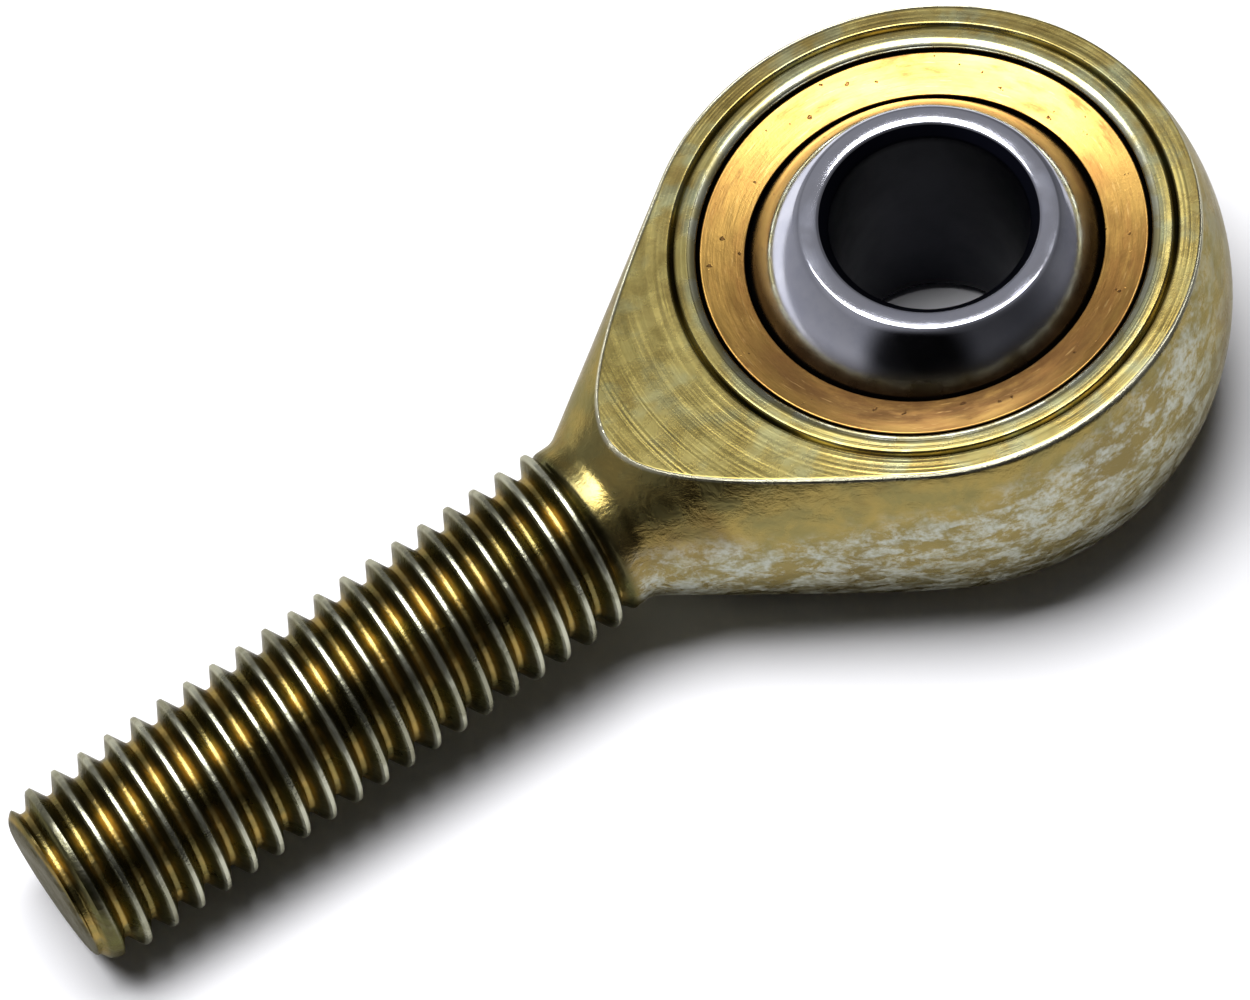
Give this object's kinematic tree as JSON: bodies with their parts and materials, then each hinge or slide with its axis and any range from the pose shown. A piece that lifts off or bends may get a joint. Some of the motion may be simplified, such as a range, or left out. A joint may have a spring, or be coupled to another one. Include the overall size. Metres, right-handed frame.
{
  "type": "rod end bearing",
  "caption": "Male rod end bearing: a steel eye on a left-hand threaded shank holds a chromed spherical ball in staked bronze race halves.",
  "frame": {"origin": "centre of the ball, which is the centre of the eye", "axes": "+Z is the axis of the eye's bore, -X runs along the shank to its threaded end, +X points to the crown and its grease nipple"},
  "size_m": [0.0547, 0.024, 0.0128],
  "materials": {
    "yellow_zinc_steel": "yellow chromate zinc plating, worn pale on the edges",
    "bronze": "turned, lightly scratched",
    "chromed_steel": "hard chromed and polished",
    "grease": "amber lithium grease",
    "nipple_steel": "plain zinc plated",
    "spring_steel": "drawn wire"
  },
  "bodies": {
    "housing": {"rod_end_body": "yellow_zinc_steel", "upper_race": "bronze", "lower_race": "bronze", "grease_nipple": "nipple_steel", "nipple_spring": "spring_steel"},
    "grease": {"grease_ring": "grease"},
    "swivel_ball": {"ball": "chromed_steel"},
    "check_ball": {"nipple_check_ball": "chromed_steel"}
  },
  "joints": [
    {"name": "ball_spin", "type": "hinge", "parent": "housing", "child": "grease", "pos_m": [0, 0, 0], "axis": [0, 0, 1], "continuous": true},
    {"name": "ball_tilt", "type": "hinge", "parent": "grease", "child": "swivel_ball", "pos_m": [0, 0, 0], "axis": [0.7071, 0.7071, 0], "range_deg": [-18.15, 9.85]},
    {"name": "check_ball_lift", "type": "slide", "parent": "housing", "child": "check_ball", "axis": [-1, 0, 0], "range_m": [0, 0.0002], "stiffness_N_per_m": 200, "springref_m": -0.0002, "deforming": ["nipple_spring"]}
  ]
}
